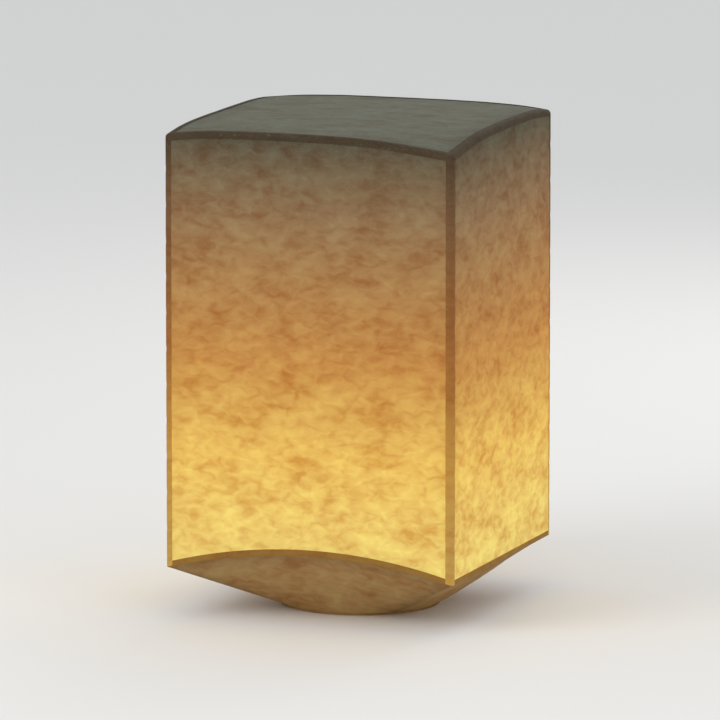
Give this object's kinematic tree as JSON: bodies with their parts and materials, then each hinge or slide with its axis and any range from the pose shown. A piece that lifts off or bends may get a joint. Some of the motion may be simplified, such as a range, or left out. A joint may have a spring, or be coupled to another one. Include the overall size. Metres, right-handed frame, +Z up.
{
  "type": "sky lantern",
  "caption": "Square paper sky lantern with a flat top and arched front and back lower edges, drawn in to a small round bamboo hoop with a wire cross and a wax fuel roll",
  "frame": {"origin": "centre of the round mouth, on the plane that the lantern stands on", "axes": "+Z up through the envelope, -Y towards the front wall, +X towards the right wall"},
  "size_m": [0.5606, 0.5606, 0.9003],
  "materials": {
    "lantern_paper": "thin fibrous paper, lit from inside",
    "lantern_paper_top": "thin fibrous paper, dull grey-green",
    "treated_paper": "browner flame-retardant paper",
    "seam_tape": "doubled paper over glued seams",
    "split_bamboo": "split bamboo, skin side out",
    "cotton_thread": "waxed cotton thread",
    "iron_wire": "soft annealed iron wire, dull",
    "waxed_paper": "rolled paper soaked in wax"
  },
  "bodies": {
    "lantern": {"wall_front": "lantern_paper", "wall_right": "lantern_paper", "wall_back": "lantern_paper", "wall_left": "lantern_paper", "foot_tape_front": "seam_tape", "foot_tape_right": "seam_tape", "foot_tape_back": "seam_tape", "foot_tape_left": "seam_tape", "corner_tape_front_right": "seam_tape", "corner_tape_back_right": "seam_tape", "corner_tape_back_left": "seam_tape", "corner_tape_front_left": "seam_tape", "throat_front": "treated_paper", "throat_right": "treated_paper", "throat_back": "treated_paper", "throat_left": "treated_paper", "base_hoop": "split_bamboo", "hoop_whipping_1": "cotton_thread", "hoop_whipping_2": "cotton_thread", "hem_tape": "seam_tape", "cross_wire_upper": "iron_wire", "cross_wire_lower": "iron_wire", "post_tie": "iron_wire"},
    "top": {"top_sheet": "lantern_paper_top", "top_tape_front": "seam_tape", "top_tape_right": "seam_tape", "top_tape_back": "seam_tape", "top_tape_left": "seam_tape"},
    "fuel": {"fuel_roll": "waxed_paper", "fuel_threads": "cotton_thread"}
  },
  "joints": [
    {"name": "envelope_fold", "type": "slide", "parent": "lantern", "child": "top", "axis": [0, 0, -1], "range_m": [0, 0.84], "deforming": ["wall_front", "wall_right", "wall_back", "wall_left", "foot_tape_front", "foot_tape_right", "foot_tape_back", "foot_tape_left", "corner_tape_front_right", "corner_tape_back_right", "corner_tape_back_left", "corner_tape_front_left", "throat_front", "throat_right", "throat_back", "throat_left"]},
    {"name": "fuel_roll_lift", "type": "slide", "parent": "lantern", "child": "fuel", "axis": [0, 0, 1], "range_m": [0, 0.03]}
  ]
}
